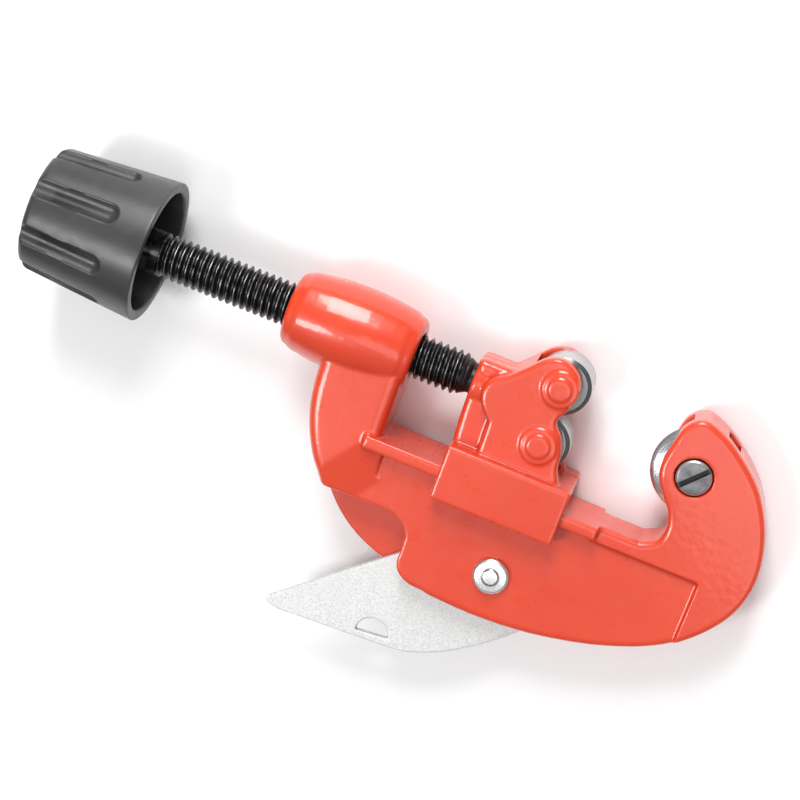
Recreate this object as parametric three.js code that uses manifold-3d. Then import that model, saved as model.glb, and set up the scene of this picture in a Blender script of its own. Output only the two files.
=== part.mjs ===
// Screw-feed pipe cutter with a fold-out reamer, for pipes of 6 to 28 mm.
// Millimetres. X runs along the feed screw from the knob to the jaw, Y towards the open side of
// the frame, Z through its thickness. While it is built, the screw's axis is the X axis and the
// middle plane of the frame is Z = 0. The last lines move the middle of its box to the origin.
import * as THREE from "three";
import { mergeVertices } from "three/addons/utils/BufferGeometryUtils.js";
import Module from "manifold-3d";

// ---- Driving dimensions ------------------------------------------------------------------
const FIT = 0.3; // clearance between pieces that touch on the real tool

const thread = { radius: 4.7625, pitch: 1.5875, depth: 0.95, startX: -62.5, endX: 7.7 };
const screw = { headX: -87, journal: 3.3, groove: 2.3, grooveX: 14.2, grooveWidth: 2.2, tipX: 16.4 };
const retainer = { radius: 1, backZ: -7.8, tipZ: 4 };

const boss = { leftX: -32.8, rightX: -4.4, endRadius: 8.1, midRadius: 9.7, round: 1.6 };
const frame = { wall: 5.3, jaw: 6.3, neck: 7.6, edge: 1.1, neckFaceX: -5, neckFootY: -32.3 };
const fall = { x: -8, y: -19, deg: -35.5, slope: 0.25 }; // how the neck's faces drop to the side panel
const rail = { topY: -17.8, thick: 2.8, halfWidth: 8.6, startX: -8, endX: 44 };
const panel = { topY: -21.3, endX: 67 };

const cutter = { x: 57.9, y: -0.8, radius: 9.4, hub: 4.4, halfHub: 2.3, bevelRadius: 6.2, halfDisc: 1.3 };
const axle = { radius: 2.4, head: 3.75, headThick: 2.2, proud: 0.35, slotWidth: 0.9, slotDeg: 47 };
const jawSlot = { halfWidth: 2.7, clearance: 1 };

const base = { leftX: 9, rightX: 36.1, topY: -12.7, bottomY: -24.8, halfWidth: 10 };
const cheek = { outerZ: 8, innerZ: 4.9 };
const slideBack = 12; // how far the slider goes back from where it is drawn
const nose = { leftX: 8.5, radius: 5.9, rightX: 17, halfWidth: 5.2, topY: 5.7 };
const pocket = { leftX: 19.5, floorY: -13 };
const roller = { x: 26.2, y: 6.35, radius: 6.15, halfLength: 4.55, bore: 2.8 };
const rollerPin = { radius: 2.5, blindZ: 6.3, proud: 0.4 };
const bump = { radius: 3.9, height: 0.45, innerRadius: 2.65, innerHeight: 0.45 };

const knob = { rimX: -63.7, endX: -90.4, rimRadius: 15.6, endRadius: 13.6, round: 2 };
const cup = { wall: 2.3, floorX: -78, hubRadius: 6.4, hubX: -68 };
const flute = { count: 8, firstDeg: -17, radius: 2.25, depth: 1.65, endX: -70.9 };
const knobPin = { radius: 1.5, x: -74 };

const pivot = { x: 26.8, y: -36.8 }; // the reamer's rivet
const blade = { halfThick: 0.9, eye: 9.7, edgeDeg: 41, length: 49, nick: 3.65, nickX: -19.6, nickY: -24.2 };
const bladeSlot = { halfWidth: 1.35, roofY: -26.4, heel: 15.6, eye: 10.3 };
const rivet = { radius: 2.4, head: 3.9, headHeight: 1.1, button: 1.6, buttonHeight: 0.35 };
const washer = { inner: 2.7, outer: 5.2, recess: 0.9, thick: 0.35 };

// ---- Solid modelling ---------------------------------------------------------------------
const wasm = await Module();
wasm.setup();

const manifold = (vertices, triangles) =>
  new wasm.Manifold(
    new wasm.Mesh({
      numProp: 3,
      vertProperties: new Float32Array(vertices),
      triVerts: new Uint32Array(triangles),
    }),
  );

// A closed three.js geometry as a manifold-3d solid, without the empty triangles at its poles.
function solid(geometry) {
  const bare = geometry.index ? geometry.toNonIndexed() : geometry.clone();
  bare.deleteAttribute("normal");
  bare.deleteAttribute("uv");
  const merged = mergeVertices(bare, 1e-4);
  const index = merged.index.array;
  const triangles = [];
  for (let i = 0; i < index.length; i += 3) {
    const [a, b, c] = index.slice(i, i + 3);
    if (a !== b && b !== c && c !== a) triangles.push(a, b, c);
  }
  return manifold(merged.attributes.position.array, triangles);
}

// Edges shorter than 0.002 mm, which cuts leave behind, are closed up.
function toGeometry(made) {
  const mesh = made.asOriginal().simplify(0.002).getMesh();
  const geometry = new THREE.BufferGeometry()
    .setAttribute("position", new THREE.BufferAttribute(mesh.vertProperties, 3))
    .setIndex(new THREE.BufferAttribute(mesh.triVerts, 1));
  geometry.computeVertexNormals();
  return geometry;
}

// The points of one closed curve, turning left for an outline and right for a hole.
function loop(path, divisions, clockwise) {
  const corners = path.getPoints(divisions);
  if (corners[0].distanceTo(corners.at(-1)) < 1e-6) corners.pop();
  if (THREE.ShapeUtils.isClockWise(corners) !== clockwise) corners.reverse();
  return corners;
}

// At each corner, the vector that moves both of its sides in by 1.
function insets(corners) {
  return corners.map((corner, i) => {
    const before = corner.clone().sub(corners.at(i - 1)).normalize();
    const after = corners[(i + 1) % corners.length].clone().sub(corner).normalize();
    const inward = new THREE.Vector2(-before.y - after.y, before.x + after.x).normalize();
    return inward.multiplyScalar(1 / Math.max(0.5, inward.dot(new THREE.Vector2(-after.y, after.x))));
  });
}

// A flat outline drawn up from lowZ to highZ, with its edges rounded by `edge`.
function plate(shape, lowZ, highZ, edge = 0, divisions = 4) {
  const outline = loop(shape, divisions, false);
  const holes = shape.holes.map((hole) => loop(hole, divisions, true));
  const loops = [outline, ...holes];
  const rings = [];
  for (let i = 0; i <= (edge ? 3 : 0); i++) {
    const a = edge ? (i / 3) * (Math.PI / 2) : Math.PI / 2;
    rings.push({ inset: edge * (1 - Math.sin(a)), rise: edge ? edge * (1 - Math.cos(a)) : 0 });
  }
  const levels = [
    ...rings.map(({ inset, rise }) => ({ inset, z: lowZ + rise })),
    ...rings.map(({ inset, rise }) => ({ inset, z: highZ - rise })).reverse(),
  ];
  const vertices = levels.flatMap(({ inset, z }) =>
    loops.flatMap((corners) => {
      const inward = insets(corners);
      return corners.flatMap((p, i) => [p.x + inward[i].x * inset, p.y + inward[i].y * inset, z]);
    }),
  );
  const perLevel = loops.flat().length;
  const top = perLevel * (levels.length - 1);
  const triangles = THREE.ShapeUtils.triangulateShape(outline, holes).flatMap(([a, b, c]) => [
    c, b, a, top + a, top + b, top + c,
  ]);
  for (let level = 0; level < levels.length - 1; level++) {
    let first = level * perLevel;
    for (const corners of loops) {
      corners.forEach((_, i) => {
        const a = first + i;
        const b = first + ((i + 1) % corners.length);
        triangles.push(a, b, b + perLevel, a, b + perLevel, a + perLevel);
      });
      first += corners.length;
    }
  }
  return manifold(vertices, triangles);
}

function box(lowX, highX, lowY, highY, lowZ, highZ) {
  const made = new THREE.BoxGeometry(highX - lowX, highY - lowY, highZ - lowZ);
  return solid(made.translate((lowX + highX) / 2, (lowY + highY) / 2, (lowZ + highZ) / 2));
}

// A box with its four long edges along Z rounded.
function roundedBlock(lowX, highX, lowY, highY, halfZ, edge) {
  const shape = new THREE.Shape([
    new THREE.Vector2(lowX, lowY),
    new THREE.Vector2(highX, lowY),
    new THREE.Vector2(highX, highY),
    new THREE.Vector2(lowX, highY),
  ]);
  return plate(shape, -halfZ, halfZ, edge);
}

// Turned about Z at (x, y): the profile lists [radius, z] from the low end to the high one.
function turnedZ(profile, x = 0, y = 0, segments = 40) {
  const points = profile.map(([radius, z]) => new THREE.Vector2(radius, z));
  return solid(new THREE.LatheGeometry(points, segments).rotateX(Math.PI / 2).translate(x, y, 0));
}

// Turned about X: the profile lists [radius, x] from the low end to the high one.
function turnedX(profile, segments = 40) {
  const points = profile.map(([radius, x]) => new THREE.Vector2(radius, x));
  return solid(new THREE.LatheGeometry(points, segments).rotateZ(-Math.PI / 2));
}

const rodZ = (radius, lowZ, highZ, x, y, segments) =>
  turnedZ([[0, lowZ], [radius, lowZ], [radius, highZ], [0, highZ]], x, y, segments);

const rodX = (radius, lowX, highX, segments) =>
  turnedX([[0, lowX], [radius, lowX], [radius, highX], [0, highX]], segments);

const points = (pairs) => pairs.map(([x, y]) => new THREE.Vector2(x, y));

const tool = new THREE.Group();

function piece(name, made, color, roughness, metalness) {
  const material = new THREE.MeshStandardMaterial({ color, roughness, metalness });
  const mesh = new THREE.Mesh(toGeometry(made), material);
  mesh.name = name;
  tool.add(mesh);
}

const ENAMEL = [0xf0492f, 0.25, 0.1];
const BLACK_STEEL = [0x2b2a2c, 0.4, 0.85];
const BRIGHT_STEEL = [0xb9bcc2, 0.3, 0.95];
const PLATED_STEEL = [0xdfe1e4, 0.35, 0.8];
const BLASTED_STEEL = [0xc6c8c8, 0.7, 0.75];
const MOULDED = [0x4a4846, 0.45, 0.05];

// ---- Frame -------------------------------------------------------------------------------
const OUTER_CURVE = [
  [-22.2, -12.5], [-20.8, -19.5], [-17.6, -26.6], [-11.8, -35.2], [-5.3, -40.9], [3.3, -44.6],
  [14, -46.3], [27, -46.8], [40, -45.6], [54.6, -41.9], [66.5, -36], [74.8, -27], [77.7, -17.5],
  [76, -7.5], [71.2, 1.3], [64, 7.6], [58, 10.7], [54.8, 10.7], [52.4, 8.4], [51.5, 5],
];
const JAW_THROAT = [[50.7, 0], [51.3, -3.6], [53.4, -6.8], [55.6, -9.6], [56.6, -12.8], [55.9, -16], [52.8, rail.topY]];

const neckTopY = -2.5; // the neck and the frame plate start this far inside the boss

function frameOutline() {
  const shape = new THREE.Shape();
  shape.moveTo(-22.6, neckTopY);
  shape.splineThru(points(OUTER_CURVE));
  shape.splineThru(points(JAW_THROAT));
  shape.lineTo(frame.neckFaceX + 1.8, rail.topY);
  shape.quadraticCurveTo(frame.neckFaceX, rail.topY, frame.neckFaceX, rail.topY + 1.8);
  shape.lineTo(frame.neckFaceX, neckTopY);
  shape.closePath();
  return shape;
}

// The thicker neck that carries the boss. Its faces slope down into the frame's walls.
function neckOutline() {
  const shape = new THREE.Shape();
  shape.moveTo(-22.6, neckTopY);
  shape.splineThru(points([[-22.2, -12.5], [-20.8, -19.5], [-17.6, -26.6], [-13.2, frame.neckFootY]]));
  shape.lineTo(3, frame.neckFootY);
  shape.lineTo(base.leftX - FIT - slideBack, base.bottomY - 1);
  shape.lineTo(base.leftX - FIT - slideBack, rail.topY - 1.5);
  shape.lineTo(frame.neckFaceX, rail.topY - 1.5);
  shape.lineTo(frame.neckFaceX, neckTopY);
  shape.closePath();
  return shape;
}

function makeNeck() {
  const angle = THREE.MathUtils.degToRad(fall.deg);
  const dropX = fall.slope * Math.cos(angle);
  const dropY = fall.slope * Math.sin(angle);
  const reach = (frame.neck + dropX * fall.x + dropY * fall.y) / Math.hypot(dropX, dropY, 1);
  return plate(neckOutline(), -frame.neck, frame.neck, 2.2, 7)
    .trimByPlane([-dropX, -dropY, -1], -reach)
    .trimByPlane([-dropX, -dropY, 1], -reach);
}

// The thicker jaw: all that is above the side panel, or past its end.
function jawRegion() {
  return box(rail.endX - 1, 90, panel.topY, 30, -20, 20).add(box(panel.endX, 90, -60, 30, -20, 20));
}

// The opening in the front wall that bares the reamer's nail nick.
function thumbNotch() {
  const shape = new THREE.Shape();
  shape.moveTo(-30, frame.neckFootY);
  shape.lineTo(2.2, frame.neckFootY);
  shape.splineThru(points([
    [5.4, -33.9], [6.9, -36.2], [7.1, -39.5], [7.2, -42.3], [8.4, -44.3], [11.5, -45.9], [16, -47.2], [20, -60],
  ]));
  shape.lineTo(-30, -60);
  shape.closePath();
  return plate(shape, 0, 20);
}

// The space that the reamer folds into, open along the outside of the frame.
function reamerSlot() {
  const shape = new THREE.Shape();
  shape.moveTo(-40, bladeSlot.roofY);
  shape.lineTo(-40, -70);
  shape.lineTo(pivot.x + bladeSlot.heel, -70);
  shape.lineTo(pivot.x + bladeSlot.heel, pivot.y);
  shape.absarc(pivot.x, pivot.y, bladeSlot.heel, 0, Math.PI / 7, false);
  shape.absarc(pivot.x, pivot.y, bladeSlot.eye, Math.PI / 4, Math.PI / 2, false);
  shape.closePath();
  return plate(shape, -bladeSlot.halfWidth, bladeSlot.halfWidth, 0, 8);
}

function bossBlank() {
  const { leftX, rightX, endRadius, midRadius, round } = boss;
  const middle = (leftX + rightX) / 2;
  const half = (rightX - leftX) / 2;
  const swell = (x) => midRadius - (midRadius - endRadius) * ((x - middle) / half) ** 2;
  const profile = [[0, leftX]];
  for (let i = 0; i <= 3; i++) {
    const a = (i / 3) * (Math.PI / 2);
    profile.push([endRadius - round + round * Math.sin(a), leftX + round - round * Math.cos(a)]);
  }
  for (let i = -4; i <= 4; i++) {
    const x = middle + (i / 5) * half;
    profile.push([swell(x), x]);
  }
  for (let i = 3; i >= 0; i--) {
    const a = (i / 3) * (Math.PI / 2);
    profile.push([endRadius - round + round * Math.sin(a), rightX - round + round * Math.cos(a)]);
  }
  profile.push([0, rightX]);
  return turnedX(profile, 48);
}

function makeFrame() {
  const outline = frameOutline();
  const bay = cutter.radius + jawSlot.clearance; // round the wheel, and open towards the throat
  const cutterBay = rodZ(bay, -jawSlot.halfWidth, jawSlot.halfWidth, cutter.x, cutter.y, 56)
    .add(box(40, cutter.x, cutter.y - bay, cutter.y + bay, -jawSlot.halfWidth, jawSlot.halfWidth));
  const seat = frame.jaw + axle.proud - axle.headThick - FIT;
  return plate(outline, -frame.wall, frame.wall, frame.edge, 7)
    .add(plate(outline, -frame.jaw, frame.jaw, frame.edge, 7).intersect(jawRegion()))
    .add(makeNeck())
    .add(roundedBlock(rail.startX, rail.endX, rail.topY - rail.thick, rail.topY, rail.halfWidth, 0.4))
    .add(bossBlank())
    .subtract(rodX(thread.radius + FIT + 0.05, boss.leftX - 5, boss.rightX + 5, 40))
    .subtract(cutterBay)
    .subtract(rodZ(axle.radius + FIT, -20, 20, cutter.x, cutter.y))
    .subtract(rodZ(axle.head + FIT, seat, 20, cutter.x, cutter.y))
    .subtract(thumbNotch().subtract(box(-90, 90, -90, 90, -1, bladeSlot.halfWidth - 0.5)))
    .subtract(reamerSlot())
    .subtract(rodZ(washer.outer + FIT, -bladeSlot.halfWidth - washer.recess, 0, pivot.x, pivot.y))
    .subtract(rodZ(rivet.radius + FIT, -20, 20, pivot.x, pivot.y));
}

// ---- Slider ------------------------------------------------------------------------------
const footY = base.topY - 3; // the cheeks and the nose run this far down into the base

// One side of the slider seen from the front: the hub's bulge, the two roller lobes, the foot.
function cheekOutline() {
  const shape = new THREE.Shape();
  shape.moveTo(14.9, footY);
  shape.lineTo(14.7, -5.6);
  shape.splineThru(points([
    [12.3, -3], [11.3, 0], [12.4, 3.2], [15.4, 5.2], [18.2, 8], [21.4, 11.2], [25, 12.3], [28.8, 10.3],
    [30.2, 6.8], [29.2, 2.7], [27.9, -0.3], [29.8, -3], [31.2, -6.4], [31.5, -9.6], [33, base.topY],
  ]));
  shape.lineTo(33, footY);
  shape.closePath();
  return shape;
}

// The stepped-back nose that holds the end of the feed screw, drawn as far as the rollers.
function noseOutline() {
  const shape = new THREE.Shape();
  shape.moveTo(9.3, footY);
  shape.splineThru(points([[8.7, -9], [nose.leftX, -4], [nose.leftX, 4.9]]));
  shape.quadraticCurveTo(nose.leftX, nose.topY, nose.leftX + 1.3, nose.topY);
  shape.lineTo(15, nose.topY);
  shape.splineThru(points([[17.4, 6.6], [20, 9.4]]));
  shape.lineTo(24, footY);
  shape.closePath();
  return shape;
}

function makeSlider() {
  const headRoom = rail.topY + FIT;
  const underRail = panel.topY - FIT; // clear of the rail and of the jaw's step past its end
  let made = roundedBlock(base.leftX, base.rightX, base.bottomY, base.topY, base.halfWidth, 0.6)
    .add(plate(cheekOutline(), -cheek.outerZ, cheek.outerZ, 0.9, 6))
    .add(plate(noseOutline(), -nose.halfWidth, nose.halfWidth, 1.4))
    .add(turnedX([
      [0, nose.leftX],
      [nose.radius - 0.8, nose.leftX],
      [nose.radius - 0.2, nose.leftX + 0.25],
      [nose.radius, nose.leftX + 0.8],
      [nose.radius, nose.rightX],
      [0, nose.rightX],
    ]));
  for (const y of [roller.y, -roller.y]) {
    const top = cheek.outerZ + bump.height;
    made = made
      .add(turnedZ(
        [
          [0, cheek.outerZ - 2],
          [bump.radius, cheek.outerZ - 2],
          [bump.radius, top - 0.2],
          [bump.radius - 0.3, top],
          [bump.innerRadius, top],
          [bump.innerRadius - 0.35, top + bump.innerHeight],
          [0, top + bump.innerHeight],
        ],
        roller.x,
        y,
        28,
      ))
      .subtract(rodZ(rollerPin.radius + FIT, -20, rollerPin.blindZ + FIT, roller.x, y, 28));
  }
  return made
    .subtract(box(pocket.leftX, 60, pocket.floorY, 30, -cheek.innerZ, cheek.innerZ))
    .subtract(box(0, 60, underRail, headRoom, -rail.halfWidth - FIT, rail.halfWidth + FIT))
    .subtract(box(0, 60, base.bottomY - 5, headRoom, -frame.wall - FIT, frame.wall + FIT))
    .subtract(rodX(screw.journal + FIT, 0, screw.tipX + 1, 28))
    .subtract(rodZ(retainer.radius + FIT, -20, retainer.tipZ + FIT, screw.grooveX, retainerY, 16));
}

// ---- Feed screw and knob -----------------------------------------------------------------
// A ridge and a root that wind together from startX to endX, closed by a fan at both ends.
function helicalThread() {
  const { radius, pitch, depth, startX, endX } = thread;
  const perTurn = 16;
  const steps = Math.round(((endX - startX) / pitch + 2) * perTurn);
  const vertices = [];
  const at = (r, i, shift) => {
    const a = (i / perTurn) * 2 * Math.PI;
    return [startX + pitch * (i / perTurn - 1 + shift), r * Math.cos(a), r * Math.sin(a)];
  };
  for (let i = 0; i <= steps; i++) vertices.push(at(radius, i, 0), at(radius - depth, i, 0.5));
  const crest = (i) => 2 * i;
  const root = (i) => 2 * i + 1;
  const faces = [];
  const quad = (a, b, c, d) => faces.push([a, b, c], [a, c, d]);
  for (let i = 0; i < steps; i++) {
    quad(crest(i), crest(i + 1), root(i + 1), root(i));
    if (i + perTurn < steps) quad(root(i), root(i + 1), crest(i + 1 + perTurn), crest(i + perTurn));
  }
  const fan = (loop, x) => {
    vertices.push([x, 0, 0]);
    loop.forEach((a, i) => faces.push([vertices.length - 1, loop[(i + 1) % loop.length], a]));
  };
  const turn = Array.from({ length: perTurn + 1 }, (_, i) => i);
  fan([...turn.map(crest), root(0)], startX - pitch);
  const last = steps - perTurn;
  fan([crest(steps), ...turn.map((i) => root(last + i)).reverse()], endX + pitch);
  return manifold(vertices.flat(), faces.flat());
}

const retainerY = -(screw.groove + retainer.radius + FIT);

function makeFeedScrew() {
  const { radius, startX, endX } = thread;
  const groove = [screw.grooveX - screw.grooveWidth / 2, screw.grooveX + screw.grooveWidth / 2];
  const blank = turnedX([
    [0, startX],
    [radius + 1, startX],
    [radius + 1, endX - 3.2],
    [screw.journal, endX],
    [0, endX],
  ]);
  return helicalThread()
    .intersect(blank)
    .add(rodX(radius - 0.05, screw.headX, startX + 0.8, 40))
    .add(turnedX([
      [0, endX - 3],
      [screw.journal, endX - 3],
      [screw.journal, groove[0]],
      [screw.groove, groove[0]],
      [screw.groove, groove[1]],
      [screw.journal, groove[1]],
      [screw.journal, screw.tipX - 0.5],
      [screw.journal - 0.5, screw.tipX],
      [0, screw.tipX],
    ], 28))
    .subtract(rodZ(knobPin.radius + FIT, -20, 20, knobPin.x, 0, 16));
}

const makeRetainingPin = () =>
  rodZ(retainer.radius, retainer.backZ, retainer.tipZ, screw.grooveX, retainerY, 16);

function makeKnob() {
  const { rimX, endX, rimRadius, endRadius, round } = knob;
  const slope = (rimRadius - endRadius) / (rimX - endX);
  const outerRadius = (x) => endRadius + slope * (x - endX);
  const profile = [[0, endX]];
  for (let i = 0; i <= 3; i++) {
    const a = (i / 3) * (Math.PI / 2);
    profile.push([endRadius - round + round * Math.sin(a), endX + round - round * Math.cos(a)]);
  }
  profile.push(
    [outerRadius(rimX - 0.4), rimX - 0.4],
    [rimRadius - 0.4, rimX],
    [rimRadius - cup.wall, rimX],
    [outerRadius(cup.floorX) - cup.wall - 0.6, cup.floorX],
    [cup.hubRadius + 0.4, cup.floorX],
    [cup.hubRadius, cup.hubX],
    [0, cup.hubX],
  );
  let made = turnedX(profile, 64);
  const length = flute.endX - endX + 6;
  const tilt = Math.atan(slope);
  for (let i = 0; i < flute.count; i++) {
    const reach = outerRadius(flute.endX) + flute.radius - flute.depth;
    const groove = new THREE.CapsuleGeometry(flute.radius, length, 4, 14)
      .translate(0, -length / 2, 0)
      .rotateZ(-Math.PI / 2 + tilt)
      .translate(flute.endX - flute.radius, reach, 0)
      .rotateX(Math.PI / 2 - THREE.MathUtils.degToRad(flute.firstDeg + (i * 360) / flute.count));
    made = made.subtract(solid(groove));
  }
  return made
    .subtract(rodX(thread.radius + FIT, screw.headX - FIT, rimX, 32))
    .subtract(rodZ(knobPin.radius + FIT, -cup.hubRadius - 3, cup.hubRadius + 3, knobPin.x, 0, 16));
}

// ---- Cutter wheel and rollers ------------------------------------------------------------
const makeCutter = () =>
  turnedZ(
    [
      [axle.radius + FIT, -cutter.halfHub],
      [cutter.hub, -cutter.halfHub],
      [cutter.hub + 0.2, -cutter.halfDisc],
      [cutter.bevelRadius, -cutter.halfDisc],
      [cutter.radius, 0],
      [cutter.bevelRadius, cutter.halfDisc],
      [cutter.hub + 0.2, cutter.halfDisc],
      [cutter.hub, cutter.halfHub],
      [axle.radius + FIT, cutter.halfHub],
      [axle.radius + FIT, -cutter.halfHub],
    ],
    cutter.x,
    cutter.y,
    56,
  );

function makeAxleScrew() {
  const top = frame.jaw + axle.proud;
  const slot = solid(
    new THREE.BoxGeometry(12, axle.slotWidth, 2)
      .rotateZ(THREE.MathUtils.degToRad(axle.slotDeg))
      .translate(cutter.x, cutter.y, top + 1 - 0.9),
  );
  return turnedZ(
    [
      [0, -frame.jaw],
      [axle.radius - 0.3, -frame.jaw],
      [axle.radius, -frame.jaw + 0.3],
      [axle.radius, top - axle.headThick],
      [axle.head, top - axle.headThick],
      [axle.head, top - 0.5],
      [axle.head - 0.5, top],
      [0, top],
    ],
    cutter.x,
    cutter.y,
  ).subtract(slot);
}

const makeRoller = (y) =>
  turnedZ(
    [
      [roller.bore, -roller.halfLength],
      [roller.radius - 0.5, -roller.halfLength],
      [roller.radius, -roller.halfLength + 0.5],
      [roller.radius, roller.halfLength - 0.5],
      [roller.radius - 0.5, roller.halfLength],
      [roller.bore, roller.halfLength],
      [roller.bore, -roller.halfLength],
    ],
    roller.x,
    y,
    48,
  );

const makeRollerPin = (y) =>
  turnedZ(
    [
      [0, -cheek.outerZ - rollerPin.proud],
      [rollerPin.radius - 0.5, -cheek.outerZ - rollerPin.proud],
      [rollerPin.radius, -cheek.outerZ],
      [rollerPin.radius, rollerPin.blindZ],
      [0, rollerPin.blindZ],
    ],
    roller.x,
    y,
    28,
  );

// ---- Reamer ------------------------------------------------------------------------------
// The blade is drawn about its pivot in the half-open position. Its scraping edge is tangent to
// the eye and ends at the point, its lower edge runs back to the rounded heel.
function bladeOutline() {
  const edge = THREE.MathUtils.degToRad(blade.edgeDeg);
  const tangentX = -blade.eye * Math.sin(edge);
  const tangentY = blade.eye * Math.cos(edge);
  const shape = new THREE.Shape();
  shape.moveTo(tangentX - blade.length * Math.cos(edge), tangentY - blade.length * Math.sin(edge));
  shape.quadraticCurveTo(-45, -26.6, -40.6, -27.1);
  shape.lineTo(-17, -25.6);
  shape.splineThru(points([[-11, -24.8], [-4, -21.7], [3.2, -16.7], [9.2, -11.4]]));
  shape.quadraticCurveTo(12.6, -7.4, 9.5, -1.9);
  shape.absarc(0, 0, blade.eye, -0.18, Math.PI / 2 + edge, false);
  shape.closePath();
  const nick = new THREE.Path();
  nick.absarc(blade.nickX, blade.nickY, blade.nick, 0.1, Math.PI + 0.1, false);
  nick.closePath();
  const eyelet = new THREE.Path();
  eyelet.absarc(0, 0, rivet.radius + FIT, 0, 2 * Math.PI, true);
  shape.holes.push(nick, eyelet);
  return shape;
}

const makeReamer = () =>
  plate(bladeOutline(), -blade.halfThick, blade.halfThick, 0.15, 6).translate(pivot.x, pivot.y, 0);

function makeRivet() {
  const seat = frame.wall + FIT;
  const crown = seat + rivet.headHeight;
  const half = [
    [rivet.radius, seat],
    [rivet.head, seat],
    [rivet.head, crown - 0.5],
    [rivet.head - 0.6, crown],
    [rivet.button, crown],
    [rivet.button - 0.2, crown + rivet.buttonHeight],
    [0, crown + rivet.buttonHeight],
  ];
  const mirrored = half.map(([radius, z]) => [radius, -z]).reverse();
  return turnedZ([...mirrored, ...half], pivot.x, pivot.y, 36);
}

function makeWasher() {
  const low = -bladeSlot.halfWidth - washer.recess + FIT;
  return turnedZ(
    [
      [washer.inner, low],
      [washer.outer, low],
      [washer.outer, low + washer.thick],
      [washer.inner, low + washer.thick],
      [washer.inner, low],
    ],
    pivot.x,
    pivot.y,
    32,
  );
}

// ---- Assembly ----------------------------------------------------------------------------
piece("frame", makeFrame(), ...ENAMEL);
piece("slider", makeSlider(), ...ENAMEL);
piece("feed_screw", makeFeedScrew(), ...BLACK_STEEL);
piece("screw_retaining_pin", makeRetainingPin(), ...PLATED_STEEL);
piece("knob", makeKnob(), ...MOULDED);
piece("knob_roll_pin", rodZ(knobPin.radius, -cup.hubRadius, cup.hubRadius, knobPin.x, 0, 16), ...PLATED_STEEL);
piece("upper_roller", makeRoller(roller.y), ...BRIGHT_STEEL);
piece("lower_roller", makeRoller(-roller.y), ...BRIGHT_STEEL);
piece("upper_roller_pin", makeRollerPin(roller.y), ...PLATED_STEEL);
piece("lower_roller_pin", makeRollerPin(-roller.y), ...PLATED_STEEL);
piece("cutter_wheel", makeCutter(), ...BRIGHT_STEEL);
piece("cutter_axle_screw", makeAxleScrew(), ...BLACK_STEEL);
piece("reamer_blade", makeReamer(), ...BLASTED_STEEL);
piece("reamer_rivet", makeRivet(), ...PLATED_STEEL);
piece("reamer_spring_washer", makeWasher(), ...BRIGHT_STEEL);

const middle = new THREE.Box3().setFromObject(tool).getCenter(new THREE.Vector3());
tool.position.copy(middle).negate();

export default tool;
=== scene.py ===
"""The pipe cutter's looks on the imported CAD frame: pieces, materials, floor, lights and camera. Metres."""

import math

import bmesh
import bpy
import numpy as np
from mathutils import Matrix, Vector


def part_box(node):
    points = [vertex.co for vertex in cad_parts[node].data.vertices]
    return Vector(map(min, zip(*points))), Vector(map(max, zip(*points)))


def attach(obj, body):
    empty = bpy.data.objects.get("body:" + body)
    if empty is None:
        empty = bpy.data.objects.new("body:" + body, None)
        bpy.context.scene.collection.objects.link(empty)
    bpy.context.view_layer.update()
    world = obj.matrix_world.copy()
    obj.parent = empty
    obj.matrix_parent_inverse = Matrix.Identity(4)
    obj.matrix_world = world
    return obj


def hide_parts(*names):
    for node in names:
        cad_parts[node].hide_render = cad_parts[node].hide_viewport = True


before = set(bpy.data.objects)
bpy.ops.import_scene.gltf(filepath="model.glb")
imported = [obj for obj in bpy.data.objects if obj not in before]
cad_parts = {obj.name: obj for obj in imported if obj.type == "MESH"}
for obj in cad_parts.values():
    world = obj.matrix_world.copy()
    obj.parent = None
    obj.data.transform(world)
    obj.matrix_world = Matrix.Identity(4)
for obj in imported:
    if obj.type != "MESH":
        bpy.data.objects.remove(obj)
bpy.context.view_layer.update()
MM = 0.001


def middle(node):
    low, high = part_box(node)
    return (low + high) / 2


def half_size(node):
    low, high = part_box(node)
    return (high - low) / 2


AXIS_Y = middle("feed_screw").y  # the feed screw's axis runs along X at this height
HEAD_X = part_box("feed_screw")[0].x
TIP_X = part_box("feed_screw")[1].x

# ---- Camera ------------------------------------------------------------------------------
EYE = Vector((46.8, 127.8, 424.2)) * MM
TARGET = Vector((1.72, 13.87, 0)) * MM
ROLL_DEG = 20.0  # the picture's upright, turned from +Y towards -X
LENS_MM = 94.5

camera = bpy.data.objects.new("camera", bpy.data.cameras.new("camera"))
bpy.context.scene.collection.objects.link(camera)
bpy.context.scene.camera = camera
camera.data.lens = LENS_MM
camera.data.sensor_width = 36
camera.data.clip_start = 0.02
back = (EYE - TARGET).normalized()
upright = Matrix.Rotation(math.radians(ROLL_DEG), 3, "Z") @ Vector((0, 1, 0))
right = upright.cross(back).normalized()
camera.matrix_world = Matrix.Translation(EYE) @ Matrix((right, back.cross(right), back)).transposed().to_4x4()


# ---- Mesh tools --------------------------------------------------------------------------
def add_object(name, mesh, smooth_deg=35):
    obj = bpy.data.objects.new(name, mesh)
    bpy.context.scene.collection.objects.link(obj)
    mesh.shade_smooth()
    if smooth_deg:
        mesh.set_sharp_from_angle(angle=math.radians(smooth_deg))
    return obj


def place(obj, body, slot, material, *nodes):
    obj.data.materials.clear()
    obj.data.materials.append(material)
    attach(obj, body)
    if nodes:
        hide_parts(*nodes)
    return obj


def bake_modifiers(obj):
    """Swap the object's mesh for the one its modifiers make."""
    graph = bpy.context.evaluated_depsgraph_get()
    made = bpy.data.meshes.new_from_object(obj.evaluated_get(graph))
    obj.modifiers.clear()
    obj.data = made


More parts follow.
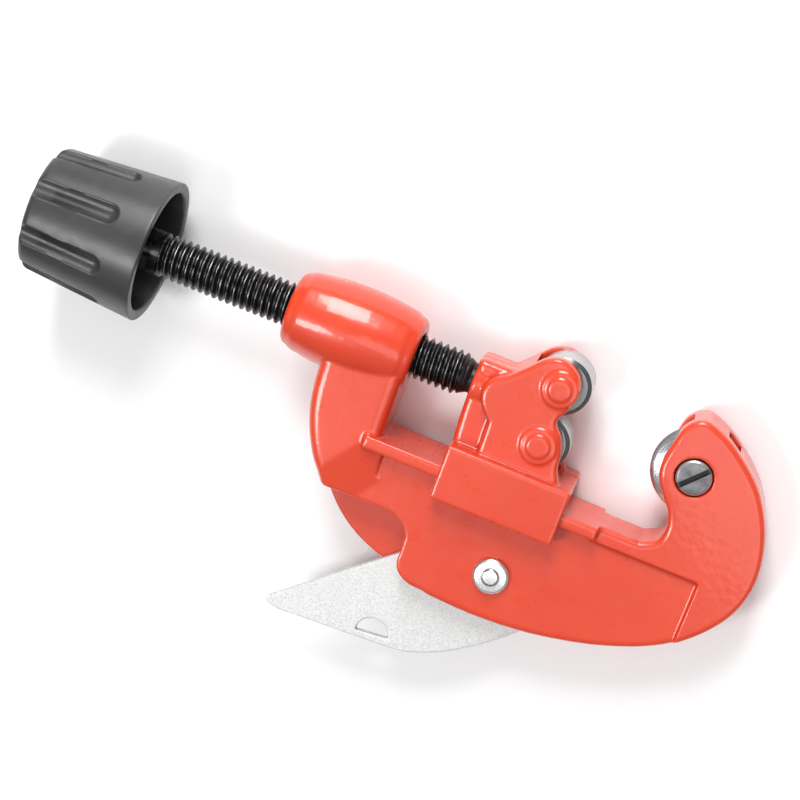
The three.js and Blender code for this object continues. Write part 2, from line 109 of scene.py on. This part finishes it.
def mark_edges(mesh, full):
    """Store how convex (+) or hollow (-) the surface is at each vertex, as the attribute `edge`."""
    count = len(mesh.vertices)
    spots = np.empty(count * 3, np.float32)
    mesh.vertices.foreach_get("co", spots)
    spots = spots.reshape(-1, 3)
    normals = np.empty(count * 3, np.float32)
    mesh.vertices.foreach_get("normal", normals)
    normals = normals.reshape(-1, 3)
    ends = np.empty(len(mesh.edges) * 2, np.int32)
    mesh.edges.foreach_get("vertices", ends)
    ends = ends.reshape(-1, 2)
    rise = np.zeros(count)
    links = np.zeros(count)
    for a, b in ((0, 1), (1, 0)):
        step = spots[ends[:, b]] - spots[ends[:, a]]
        np.add.at(rise, ends[:, a], (step * normals[ends[:, a]]).sum(1))
        np.add.at(links, ends[:, a], 1)
    bend = -rise / np.maximum(links, 1)
    for _ in range(4):  # spread it a little over the neighbours
        total = bend.copy()
        for a, b in ((0, 1), (1, 0)):
            np.add.at(total, ends[:, a], bend[ends[:, b]])
        bend = total / (links + 1)
    held = mesh.attributes.new("edge", "FLOAT", "POINT")
    held.data.foreach_set("value", np.clip(bend / full, -1, 1).astype(np.float32))


def soft_copy(name, node, voxel, rounds):
    """The CAD node's shape, remeshed in voxels, with its edges and inner corners rounded."""
    obj = bpy.data.objects.new(name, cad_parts[node].data.copy())
    bpy.context.scene.collection.objects.link(obj)
    remesh = obj.modifiers.new("remesh", "REMESH")
    remesh.mode = "VOXEL"
    remesh.voxel_size = voxel
    smooth = obj.modifiers.new("smooth", "SMOOTH")
    smooth.factor = 0.5
    smooth.iterations = rounds
    bake_modifiers(obj)
    obj.data.shade_smooth()
    return obj


def casting(name, node, voxel, rounds):
    obj = soft_copy(name, node, voxel, rounds)
    mark_edges(obj.data, voxel * 0.1)
    return obj


def rounded(profile, radius, steps=4, closed=False):
    """The profile with its corners replaced by short curves."""
    spots = [Vector(p) for p in profile]
    made = []
    last = len(spots) - 1
    for i, spot in enumerate(spots):
        if not closed and i in (0, last):
            made.append(spot)
            continue
        before = spots[i - 1] - spot
        after = spots[(i + 1) % len(spots)] - spot
        reach = min(radius, before.length * 0.45, after.length * 0.45)
        start = spot + before.normalized() * reach
        end = spot + after.normalized() * reach
        for k in range(steps + 1):
            t = k / steps
            made.append(start * (1 - t) ** 2 + spot * 2 * t * (1 - t) + end * t**2)
    return made


def turned(name, profile, centre, axis="Z", segments=96, carve=None, closed=False, smooth_deg=35):
    """Turn (radius, height) points about an axis through centre. They start low and go out and up."""
    bm = bmesh.new()
    rings = []
    for radius, height in profile:
        count = 1 if radius < 1e-9 else segments
        ring = []
        for k in range(count):
            a = 2 * math.pi * k / segments
            r = carve(radius, height, a) if carve and count > 1 else radius
            y, z = r * math.cos(a), r * math.sin(a)
            spot = Vector((y, z, height)) if axis == "Z" else Vector((height, y, z))
            ring.append(bm.verts.new(spot + centre))
        rings.append(ring)
    pairs = list(zip(rings, rings[1:])) + ([(rings[-1], rings[0])] if closed else [])
    for low, high in pairs:
        for k in range(segments):
            n = (k + 1) % segments
            corners = [low[k % len(low)], low[n % len(low)], high[n % len(high)], high[k % len(high)]]
            corners = list(dict.fromkeys(corners))
            if len(corners) > 2:
                bm.faces.new(corners)
    bmesh.ops.recalc_face_normals(bm, faces=bm.faces)
    mesh = bpy.data.meshes.new(name)
    bm.to_mesh(mesh)
    bm.free()
    return add_object(name, mesh, smooth_deg)


def pin_profile(node, edge):
    """A plain pin of the node's height and radius, with its ends at the node's own heights."""
    low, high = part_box(node)
    radius = half_size(node).x
    return rounded([(0, low.z), (radius, low.z), (radius, high.z), (0, high.z)], edge)


def carved(obj, tool, smooth_deg=35):
    """Cut the tool out of obj, and remove the tool."""
    cut = obj.modifiers.new("cut", "BOOLEAN")
    cut.operation = "DIFFERENCE"
    cut.solver = "EXACT"
    cut.object = tool
    bake_modifiers(obj)
    bpy.data.objects.remove(tool)
    obj.data.shade_smooth()
    obj.data.set_sharp_from_angle(angle=math.radians(smooth_deg))
    return obj


def block(name, size, centre, turn_deg=0):
    bm = bmesh.new()
    bmesh.ops.create_cube(bm, size=1)
    turn = Matrix.Rotation(math.radians(turn_deg), 4, "Z")
    bm.transform(Matrix.Translation(centre) @ turn @ Matrix.Diagonal((*size, 1)))
    mesh = bpy.data.meshes.new(name)
    bm.to_mesh(mesh)
    bm.free()
    return add_object(name, mesh)


# ---- Material tools ----------------------------------------------------------------------
class Finish:
    """A material with one Principled shader, and short names for the nodes that feed it."""

    def __init__(self, name, **sockets):
        self.material = bpy.data.materials.new(name)
        self.material.use_nodes = True
        self.tree = self.material.node_tree
        self.shader = next(n for n in self.tree.nodes if n.type == "BSDF_PRINCIPLED")
        for socket, value in sockets.items():
            self.shader.inputs[socket.replace("_", " ")].default_value = value
        self.place = self.tree.nodes.new("ShaderNodeTexCoord").outputs["Object"]

    def node(self, kind, **inputs):
        made = self.tree.nodes.new(kind)
        for socket, value in inputs.items():
            self.feed(made.inputs[socket.replace("_", " ")], value)
        return made

    def feed(self, socket, value):
        if isinstance(value, bpy.types.NodeSocket):
            self.tree.links.new(value, socket)
        else:
            socket.default_value = value

    def noise(self, scale, detail=3, roughness=0.5, vector=None):
        made = self.node("ShaderNodeTexNoise", Scale=scale, Detail=detail, Roughness=roughness)
        self.feed(made.inputs["Vector"], vector or self.place)
        return made.outputs["Fac"]

    def spread(self, value, low, high, to_low=0.0, to_high=1.0):
        made = self.tree.nodes.new("ShaderNodeMapRange")
        for socket, number in zip(made.inputs, (value, low, high, to_low, to_high)):
            self.feed(socket, number)
        return made.outputs[0]

    def maths(self, operation, a, b=0.0):
        made = self.tree.nodes.new("ShaderNodeMath")
        made.operation = operation
        self.feed(made.inputs[0], a)
        self.feed(made.inputs[1], b)
        return made.outputs[0]

    def mix(self, share, a, b):
        made = self.tree.nodes.new("ShaderNodeMix")
        made.data_type = "RGBA"
        self.feed(made.inputs["Factor"], share)
        for key, value in (("A", a), ("B", b)):
            socket = next(s for s in made.inputs if s.name == key and s.type == "RGBA")
            self.feed(socket, value if isinstance(value, bpy.types.NodeSocket) else (*value, 1))
        return next(s for s in made.outputs if s.type == "RGBA")

    def attribute(self, name):
        made = self.tree.nodes.new("ShaderNodeAttribute")
        made.attribute_name = name
        return made.outputs["Fac"]

    def around(self, centre, axis):
        """Coordinates that are nearly constant round an axis, for marks left by turning or grinding."""
        shifted = self.node("ShaderNodeVectorMath")
        shifted.operation = "SUBTRACT"
        self.feed(shifted.inputs[0], self.place)
        shifted.inputs[1].default_value = centre
        parts = self.node("ShaderNodeSeparateXYZ", Vector=shifted.outputs[0])
        across = ("X", "Y") if axis == "Z" else ("Y", "Z")
        u, v = (parts.outputs[k] for k in across)
        square = self.maths("ADD", self.maths("MULTIPLY", u, u), self.maths("MULTIPLY", v, v))
        radius = self.maths("SQRT", square)
        angle = self.maths("MULTIPLY", self.maths("ARCTAN2", v, u), 0.0004)
        along = parts.outputs[axis]
        joined = self.node("ShaderNodeCombineXYZ", X=radius, Y=angle, Z=along)
        return joined.outputs[0], radius

    def bump(self, height, distance, strength=1.0, normal=None):
        made = self.node("ShaderNodeBump", Strength=strength, Distance=distance, Height=height)
        if normal:
            self.feed(made.inputs["Normal"], normal)
        return made.outputs["Normal"]

    def done(self, **links):
        for socket, value in links.items():
            self.feed(self.shader.inputs[socket.replace("_", " ")], value)
        return self.material


def enamel():
    f = Finish("enamel", Metallic=0.0, Coat_Weight=0.6, Coat_Roughness=0.09, Coat_IOR=1.5, IOR=1.5)
    edge = f.attribute("edge")
    edge_highlight = f.spread(edge, 0.25, 1.0)
    hollow = f.spread(edge, -0.15, -0.9)
    cloud = f.spread(f.noise(55, 2), 0.35, 0.65)
    speck = f.spread(f.noise(1500, 4, 0.65), 0.66, 0.78)
    colour = f.mix(cloud, (0.70, 0.050, 0.011), (0.66, 0.043, 0.009))
    # painted highlight: convex edges are coloured a lighter orange, standing in for the light they catch
    colour = f.mix(f.maths("MULTIPLY", edge_highlight, 0.5), colour, (0.76, 0.085, 0.035))
    # painted shade: hollows are coloured a darker red where shade falls, and where thicker paint also pools
    colour = f.mix(f.maths("MULTIPLY", hollow, 0.65), colour, (0.42, 0.017, 0.006))
    colour = f.mix(f.maths("MULTIPLY", speck, 0.12), colour, (0.48, 0.025, 0.010))
    rough = f.spread(f.noise(220, 3), 0.3, 0.7, 0.26, 0.38)
    peel = f.bump(f.noise(620, 2, 0.45), 0.00006, 0.5)
    sag = f.bump(f.noise(95, 1), 0.00025, 0.2, peel)
    return f.done(Base_Color=colour, Roughness=rough, Normal=sag, Coat_Normal=sag)


def moulded_plastic(centre, inner_radius, low, high):
    """Satin plastic. Nearer the axis than inner_radius, between low and high along X, it is painted
    near-black: painted shade inside the knob's cup.
    """
    f = Finish("moulded_plastic", Metallic=0.0, IOR=1.52)
    grain = f.noise(3800, 3, 0.6)
    tone = f.spread(f.noise(90, 3), 0.3, 0.7)
    colour = f.mix(tone, (0.030, 0.029, 0.028), (0.046, 0.044, 0.043))
    colour = f.mix(f.spread(grain, 0.60, 0.75, 0, 0.3), colour, (0.09, 0.086, 0.083))
    _, radius = f.around(centre, "X")
    along = f.node("ShaderNodeSeparateXYZ", Vector=f.place).outputs["X"]
    near_axis = f.spread(radius, inner_radius + 0.0004, inner_radius)
    cup_shade = f.maths("MULTIPLY", near_axis, f.spread(along, low, high))
    # painted shade: the inside of the knob's cup is coloured near-black
    colour = f.mix(f.maths("MULTIPLY", cup_shade, 0.85), colour, (0.006, 0.006, 0.006))
    rough = f.spread(f.noise(500, 4), 0.3, 0.7, 0.30, 0.40)
    bump = f.bump(grain, 0.00005, 0.35)
    return f.done(Base_Color=colour, Roughness=rough, Normal=bump)


def black_steel(name, centre, axis, crest):
    """Oiled black oxide, rubbed bright from the radius `crest` outwards."""
    f = Finish(name, Metallic=0.85, IOR=1.5)
    ring, radius = f.around(centre, axis)
    marks = f.noise(9000, 3, 0.6, ring)
    tone = f.spread(f.noise(700, 3), 0.3, 0.7)
    colour = f.mix(tone, (0.020, 0.020, 0.022), (0.052, 0.051, 0.054))
    at_crest = f.spread(radius, crest - 0.00012, crest)
    rubbed = f.maths("MULTIPLY", at_crest, f.spread(f.noise(420, 3), 0.42, 0.60))
    colour = f.mix(rubbed, colour, (0.30, 0.29, 0.29))
    rough = f.spread(marks, 0.3, 0.7, 0.24, 0.42)
    bump = f.bump(marks, 0.00003, 0.4)
    return f.done(Base_Color=colour, Roughness=rough, Normal=bump)


def ground_steel(name, centre, axis, light, dark, rough_low, rough_high, end_shade_from=None, end_shade_share=0.7):
    """Bare or plated steel with the fine rings that turning or grinding leaves.

    Beyond the given distance from the centre, along the axis, the end faces are painted dark: painted shade
    and a painted dark reflection.
    """
    f = Finish(name, Metallic=1.0)
    ring, _ = f.around(centre, axis)
    marks = f.noise(6500, 4, 0.6, ring)
    blotch = f.spread(f.noise(420, 3), 0.35, 0.7)
    colour = f.mix(f.spread(marks, 0.3, 0.7), dark, light)
    colour = f.mix(f.maths("MULTIPLY", blotch, 0.35), colour, tuple(v * 0.72 for v in light))
    if end_shade_from:
        along = f.node("ShaderNodeSeparateXYZ", Vector=f.place).outputs[axis]
        away = f.maths("ABSOLUTE", f.maths("SUBTRACT", along, centre["XYZ".index(axis)]))
        # painted shade and painted dark reflection on the end faces
        end_shade = f.spread(away, end_shade_from, end_shade_from + 0.0001, 0, end_shade_share)
        colour = f.mix(end_shade, colour, (0.05, 0.05, 0.052))
    rough = f.spread(marks, 0.3, 0.7, rough_low, rough_high)
    bump = f.bump(marks, 0.00003, 0.35)
    return f.done(Base_Color=colour, Roughness=rough, Normal=bump)


def rivet_steel(centre, disc):
    """Bright plate, with painted shade: a darker ring just round the rivet's raised inner disc."""
    f = Finish("rivet_steel", Metallic=1.0)
    ring, radius = f.around(centre, "Z")
    marks = f.noise(6500, 4, 0.6, ring)
    colour = f.mix(f.spread(marks, 0.3, 0.7), (0.80, 0.81, 0.82), (0.93, 0.94, 0.95))
    past_disc = f.spread(radius, disc - 0.0001, disc)
    ring_shade = f.maths("MULTIPLY", past_disc, f.spread(radius, disc + 0.0005, disc + 0.0003))
    # painted shade beside the step of the raised disc
    colour = f.mix(f.maths("MULTIPLY", ring_shade, 0.75), colour, (0.16, 0.16, 0.17))
    rough = f.spread(marks, 0.3, 0.7, 0.22, 0.36)
    return f.done(Base_Color=colour, Roughness=rough, Normal=f.bump(marks, 0.00003, 0.35))


def screw_head_steel(centre, rim, floor_z):
    """Grey steel with a rubbed chamfer. Below floor_z, which takes in the slot's floor and the sunk sides of
    the head, it is near-black.
    """
    f = Finish("axle_screw_steel", Metallic=0.9)
    ring, radius = f.around(centre, "Z")
    marks = f.noise(9000, 3, 0.6, ring)
    tone = f.spread(f.noise(700, 3), 0.3, 0.7)
    colour = f.mix(tone, (0.13, 0.13, 0.135), (0.24, 0.24, 0.245))
    colour = f.mix(f.spread(radius, rim - 0.00055, rim - 0.00035), colour, (0.58, 0.58, 0.59))
    height = f.node("ShaderNodeSeparateXYZ", Vector=f.place).outputs["Z"]
    colour = f.mix(f.spread(height, floor_z, floor_z - 0.0003, 0, 0.9), colour, (0.012, 0.012, 0.012))
    rough = f.spread(marks, 0.3, 0.7, 0.26, 0.42)
    return f.done(Base_Color=colour, Roughness=rough, Normal=f.bump(marks, 0.00003, 0.4))


def blasted_steel():
    f = Finish("blasted_steel", Metallic=0.35, IOR=1.5)
    grain = f.noise(2600, 4, 0.7)
    stain = f.spread(f.noise(130, 4, 0.6), 0.35, 0.7)
    colour = f.mix(f.spread(grain, 0.36, 0.60), (0.50, 0.51, 0.50), (0.74, 0.75, 0.74))
    colour = f.mix(f.maths("MULTIPLY", stain, 0.2), colour, (0.60, 0.61, 0.59))
    colour = f.mix(f.spread(f.noise(3400, 2, 0.5), 0.66, 0.74, 0, 0.5), colour, (0.25, 0.25, 0.25))
    rough = f.spread(grain, 0.3, 0.7, 0.42, 0.62)
    bump = f.bump(grain, 0.00008, 0.6)
    return f.done(Base_Color=colour, Roughness=rough, Normal=bump)


# ---- The pieces --------------------------------------------------------------------------
STEEL = ((0.62, 0.63, 0.65), (0.42, 0.43, 0.45))  # a light and a dark tone
PLATED = ((0.78, 0.79, 0.80), (0.62, 0.63, 0.64))

ENAMEL = enamel()
VOXEL = 0.3 * MM
ROUNDS = 7
BLADE_VOXEL = 0.18 * MM  # finer, to keep the blade's edges crisp
BLADE_ROUNDS = 3

place(casting("frame_casting", "frame", VOXEL, ROUNDS), "frame_body", "enamel", ENAMEL, "frame")
place(casting("slider_casting", "slider", VOXEL * 0.85, ROUNDS), "slider_body", "enamel", ENAMEL, "slider")

# The feed screw: a plain end in the knob, the thread, and the journal that turns in the slider.
PITCH = 1.5875 * MM
THREAD_R = half_size("feed_screw").y
THREAD_DEPTH = 0.95 * MM
THREAD_START = HEAD_X + 24.5 * MM
THREAD_END = TIP_X - 8.7 * MM
JOURNAL_R = 3.3 * MM
GROOVE_R, GROOVE_WIDTH = 2.3 * MM, 2.2 * MM
GROOVE_BACK = 3.4 * MM  # from the screw's tip to the groove's middle
SCREW_CENTRE = Vector((0, AXIS_Y, 0))


def thread_carve(radius, height, angle):
    if not THREAD_START <= height <= THREAD_END:
        return radius
    phase = (height / PITCH - angle / (2 * math.pi)) % 1
    from_crest = abs(phase - 0.5) * 2
    fall = min(1, max(0, (from_crest - 0.12) / 0.70))
    fall = 0.8 * fall + 0.2 * fall * fall * (3 - 2 * fall)
    return min(radius, THREAD_R - THREAD_DEPTH * fall)


def screw_profile():
    plain = THREAD_R - 0.05 * MM
    groove_x = TIP_X - GROOVE_BACK
    ends = [(0, HEAD_X), (plain, HEAD_X), (plain, THREAD_START - 0.1 * MM)]
    low = rounded([Vector(p) for p in ends], 0.4 * MM)
    steps = round((THREAD_END - THREAD_START) / PITCH * 14)
    for i in range(steps + 1):
        x = THREAD_START + (THREAD_END - THREAD_START) * i / steps
        chamfer = JOURNAL_R + (THREAD_END - x) / (2.6 * MM) * (THREAD_R - JOURNAL_R)
        low.append(Vector((min(THREAD_R, chamfer), x)))
    groove = GROOVE_WIDTH / 2
    rest = [
        (JOURNAL_R, THREAD_END + 0.15 * MM),
        (JOURNAL_R, groove_x - groove),
        (GROOVE_R, groove_x - groove),
        (GROOVE_R, groove_x + groove),
        (JOURNAL_R, groove_x + groove),
        (JOURNAL_R, TIP_X - 0.5 * MM),
        (JOURNAL_R - 0.5 * MM, TIP_X),
        (0, TIP_X),
    ]
    return low + rounded(rest, 0.2 * MM, 2)


screw = turned("thread_rod", screw_profile(), SCREW_CENTRE, "X", 72, thread_carve)
screw_steel = black_steel("black_screw", SCREW_CENTRE, "X", THREAD_R)
place(screw, "screw_body", "black_steel", screw_steel, "feed_screw")

pin_middle = middle("screw_retaining_pin")
pin_middle.z = 0
plated = ground_steel("plated_retainer", pin_middle, "Z", *PLATED, 0.22, 0.36)
pin = turned("screw_keeper_pin", pin_profile("screw_retaining_pin", 0.25 * MM), pin_middle, "Z", 48)
place(pin, "slider_body", "plated_steel", plated, "screw_retaining_pin")

# The knob: a tapered cup with eight round-ended flutes cut from its closed end.
KNOB_END, KNOB_RIM = (v.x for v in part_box("knob"))
RIM_R = half_size("knob").z
END_R = RIM_R - 2 * MM
FLUTES, FLUTE_FIRST_DEG, FLUTE_R, FLUTE_DEPTH = 8, -17, 2.25 * MM, 1.65 * MM
FLUTE_END = KNOB_RIM - 7.2 * MM
HUB_R = 6.4 * MM
HUB_X = KNOB_RIM - 4.3 * MM
CUP_WALL = 2.3 * MM
CUP_FLOOR_X = KNOB_RIM - 14.3 * MM


def knob_outer(x):
    return END_R + (RIM_R - END_R) * (x - KNOB_END) / (KNOB_RIM - KNOB_END)


def knob_carve(radius, x, angle):
    turn = 2 * math.pi / FLUTES
    first = math.radians(90 - FLUTE_FIRST_DEG)
    off = (angle - first + turn / 2) % turn - turn / 2
    across = off * knob_outer(x)
    past = max(0.0, x - (FLUTE_END - FLUTE_R))
    left = FLUTE_R**2 - across**2 - past**2
    if left <= 0 or radius < HUB_R + 3 * MM:
        return radius
    groove = knob_outer(x) + FLUTE_R - FLUTE_DEPTH - math.sqrt(left)
    blend = 0.35 * MM  # rounds the flute's lip
    gap = max(0.0, blend - abs(radius - groove)) / blend
    return min(radius, groove) - gap * gap * blend / 4


def knob_profile():
    steps = 100
    outer = [
        (0, KNOB_END),
        (END_R * 0.5, KNOB_END),
        (END_R, KNOB_END),
        (knob_outer(KNOB_END + 4 * MM), KNOB_END + 4 * MM),
    ]
    made = rounded(outer, 2 * MM, 10)[:-1]
    for i in range(steps):
        x = KNOB_END + 4 * MM + (KNOB_RIM - KNOB_END - 4.8 * MM) * i / steps
        made.append(Vector((knob_outer(x), x)))
    rest = [
        (knob_outer(KNOB_RIM - 0.8 * MM), KNOB_RIM - 0.8 * MM),
        (RIM_R, KNOB_RIM),
        (RIM_R - CUP_WALL, KNOB_RIM),
        (knob_outer(CUP_FLOOR_X) - CUP_WALL - 0.6 * MM, CUP_FLOOR_X),
        (HUB_R + 0.4 * MM, CUP_FLOOR_X),
        (HUB_R, HUB_X),
        (THREAD_R + 0.1 * MM, HUB_X),
        (THREAD_R + 0.1 * MM, HUB_X - 1.2 * MM),
        (0, HUB_X - 1.2 * MM),
    ]
    return made + rounded(rest, 0.6 * MM)


knob = turned("grip_knob", knob_profile(), SCREW_CENTRE, "X", 360, knob_carve, smooth_deg=60)
# the last three arguments set where the knob's cup is painted near-black as painted shade
plastic = moulded_plastic(SCREW_CENTRE, RIM_R - 2.7 * MM, KNOB_END + 4 * MM, KNOB_END + 5 * MM)
place(knob, "screw_body", "moulded_plastic", plastic, "knob")

roll_middle = middle("knob_roll_pin")
plated = ground_steel("plated_roll_pin", roll_middle, "Z", *PLATED, 0.22, 0.36)
roll = turned("roll_pin", pin_profile("knob_roll_pin", 0.3 * MM), roll_middle, "Z", 48)
place(roll, "screw_body", "plated_steel", plated, "knob_roll_pin")

# The rollers and their pins.
for side in ("upper", "lower"):
    centre = middle(side + "_roller")
    size = half_size(side + "_roller")
    bore = 2.8 * MM
    profile = [
        (bore, -size.z),
        (size.x * 0.86, -size.z),
        (size.x * 0.88, -size.z + 0.15 * MM),
        (size.x, -size.z + 0.45 * MM),
        (size.x, size.z - 0.45 * MM),
        (size.x * 0.88, size.z - 0.15 * MM),
        (size.x * 0.86, size.z),
        (bore, size.z),
    ]
    obj = turned(side + "_steel_roller", rounded(profile, 0.3 * MM, 3, True), centre, "Z", 128, closed=True)
    # the roller's end faces, from 0.5 mm short of each end, are painted dark: painted shade and painted dark
    # reflection
    steel = ground_steel(side + "_roller_steel", centre, "Z", *STEEL, 0.20, 0.36, size.z - 0.5 * MM)
    place(obj, side + "_roller_body", "bright_steel", steel, side + "_roller")
    low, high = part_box(side + "_roller_pin")
    pin_r = half_size(side + "_roller_pin").x
    where = Vector((centre.x, centre.y, 0))
    profile = [
        (0, low.z + 0.1 * MM),
        (pin_r * 0.55, low.z + 0.1 * MM),
        (pin_r * 0.65, low.z),
        (pin_r, low.z + 0.2 * MM),
        (pin_r, high.z),
        (0, high.z),
    ]
    obj = turned(side + "_steel_pin", rounded(profile, 0.25 * MM, 3), where, "Z", 64)
    plated = ground_steel(side + "_pin_steel", where, "Z", *PLATED, 0.22, 0.36)
    place(obj, "slider_body", "plated_steel", plated, side + "_roller_pin")

# The cutting wheel, ground to an edge on both sides, and the slotted screw it turns on.
wheel_middle = middle("cutter_wheel")
wheel = half_size("cutter_wheel")
profile = [
    (2.7 * MM, -wheel.z),
    (4.4 * MM, -wheel.z),
    (4.6 * MM, -1.3 * MM),
    (6.2 * MM, -1.3 * MM),
    (wheel.x - 0.9 * MM, -0.42 * MM),
    (wheel.x, 0),
    (wheel.x - 0.9 * MM, 0.42 * MM),
    (6.2 * MM, 1.3 * MM),
    (4.6 * MM, 1.3 * MM),
    (4.4 * MM, wheel.z),
    (2.7 * MM, wheel.z),
]
profile = rounded(profile, 0.12 * MM, 2, True)
obj = turned("cutting_wheel", profile, wheel_middle, "Z", 160, closed=True, smooth_deg=20)
steel = ground_steel("wheel_steel", wheel_middle, "Z", *STEEL, 0.14, 0.30)
place(obj, "cutter_body", "bright_steel", steel, "cutter_wheel")

axle_low, axle_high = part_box("cutter_axle_screw")
axle_middle = middle("cutter_axle_screw")
axle_middle.z = 0
head_r = half_size("cutter_axle_screw").x
seat = axle_high.z - 2.2 * MM
profile = [
    (0, axle_low.z),
    (2.1 * MM, axle_low.z),
    (2.4 * MM, axle_low.z + 0.3 * MM),
    (2.4 * MM, seat),
    (head_r, seat),
    (head_r, axle_high.z - 0.45 * MM),
    (head_r - 0.45 * MM, axle_high.z - 0.03 * MM),
    (head_r * 0.5, axle_high.z),
    (0, axle_high.z),
]
obj = turned("slotted_axle_screw", rounded(profile, 0.15 * MM, 3), axle_middle, "Z", 96)
slot_middle = Vector((axle_middle.x, axle_middle.y, axle_high.z))
carved(obj, block("slot_tool", (12 * MM, 1.15 * MM, 1.8 * MM), slot_middle, 47))
head_steel = screw_head_steel(axle_middle, head_r, axle_high.z - 0.6 * MM)
place(obj, "frame_body", "black_steel", head_steel, "cutter_axle_screw")

# The reamer: blade, rivet and the washer under it.
obj = soft_copy("reamer_plate", "reamer_blade", BLADE_VOXEL, BLADE_ROUNDS)
place(obj, "reamer_body", "blasted_steel", blasted_steel(), "reamer_blade")

rivet_low, rivet_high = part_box("reamer_rivet")
rivet_middle = middle("reamer_rivet")
rivet_r = half_size("reamer_rivet").x
top = rivet_high.z
half = [
    (2.4 * MM, top - 1.45 * MM),
    (rivet_r, top - 1.45 * MM),
    (rivet_r, top - 0.85 * MM),
    (rivet_r - 0.55 * MM, top - 0.35 * MM),
    (1.75 * MM, top - 0.30 * MM),
    (1.55 * MM, top),
    (0, top),
]
profile = [(r, -z) for r, z in reversed(half)] + half
obj = turned("reamer_pivot_rivet", rounded(profile, 0.3 * MM, 4), rivet_middle, "Z", 96)
place(obj, "frame_body", "plated_steel", rivet_steel(rivet_middle, 1.65 * MM), "reamer_rivet")

washer_low, washer_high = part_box("reamer_spring_washer")
washer_r = half_size("reamer_spring_washer").x
where = Vector((rivet_middle.x, rivet_middle.y, 0))
profile = [
    (2.7 * MM, washer_low.z),
    (washer_r, washer_low.z),
    (washer_r, washer_high.z),
    (2.7 * MM, washer_high.z),
]
obj = turned("thin_washer", rounded(profile, 0.08 * MM, 2, True), where, "Z", 96, closed=True)
steel = ground_steel("washer_steel", where, "Z", *STEEL, 0.2, 0.36)
place(obj, "frame_body", "bright_steel", steel, "reamer_spring_washer")

# ---- Floor, world and lights -------------------------------------------------------------
# The tool rests on the knob's rim and on the slider's back corner.
rim = Vector((KNOB_RIM, 0, -RIM_R))
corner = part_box("slider")
corner = Vector((corner[1].x, 0, corner[0].z))
slope = math.atan2(corner.z - rim.z, corner.x - rim.x)

FLOOR_REACH = 3
bm = bmesh.new()
bmesh.ops.create_grid(bm, x_segments=8, y_segments=8, size=FLOOR_REACH)
bm.transform(Matrix.Translation(rim) @ Matrix.Rotation(-slope, 4, "Y"))
mesh = bpy.data.meshes.new("floor")
bm.to_mesh(mesh)
bm.free()
floor = add_object("floor", mesh, 0)
f = Finish("floor_paper", Roughness=0.9, Specular_IOR_Level=0.1)
tone = f.mix(f.spread(f.noise(30, 3), 0.3, 0.7), (0.96, 0.96, 0.96), (0.98, 0.98, 0.98))
floor.data.materials.append(f.done(Base_Color=tone))

world = bpy.data.worlds.new("studio")
bpy.context.scene.world = world
world.use_nodes = True
tree = world.node_tree
backdrop = next(n for n in tree.nodes if n.type == "BACKGROUND")
coords = tree.nodes.new("ShaderNodeTexCoord")
parts = tree.nodes.new("ShaderNodeSeparateXYZ")
ramp = tree.nodes.new("ShaderNodeValToRGB")
tree.links.new(coords.outputs["Generated"], parts.inputs[0])
tree.links.new(parts.outputs["Z"], ramp.inputs[0])
tree.links.new(ramp.outputs[0], backdrop.inputs["Color"])
ramp.color_ramp.elements[0].position = 0.0
ramp.color_ramp.elements[0].color = (0.22, 0.22, 0.225, 1)
ramp.color_ramp.elements[1].position = 0.75
ramp.color_ramp.elements[1].color = (0.60, 0.60, 0.61, 1)
backdrop.inputs["Strength"].default_value = 0.75


def softbox(name, direction, distance, width, height, power):
    lamp = bpy.data.lights.new(name, "AREA")
    lamp.shape = "RECTANGLE"
    lamp.size = width
    lamp.size_y = height
    lamp.energy = power
    obj = bpy.data.objects.new(name, lamp)
    bpy.context.scene.collection.objects.link(obj)
    away = Vector(direction).normalized()
    obj.matrix_world = Matrix.Translation(away * distance) @ away.to_track_quat("Z", "Y").to_matrix().to_4x4()


softbox("key_light", (-0.207, 0.818, 0.534), 0.9, 0.30, 0.55, 7.4)
softbox("second_light", (-0.419, -0.280, 0.863), 0.9, 0.20, 0.35, 3.2)
softbox("far_panel", (0.28, -0.15, 1.2), 1.24, 0.445, 0.9, 2.5)

bpy.context.scene.view_settings.view_transform = "Standard"
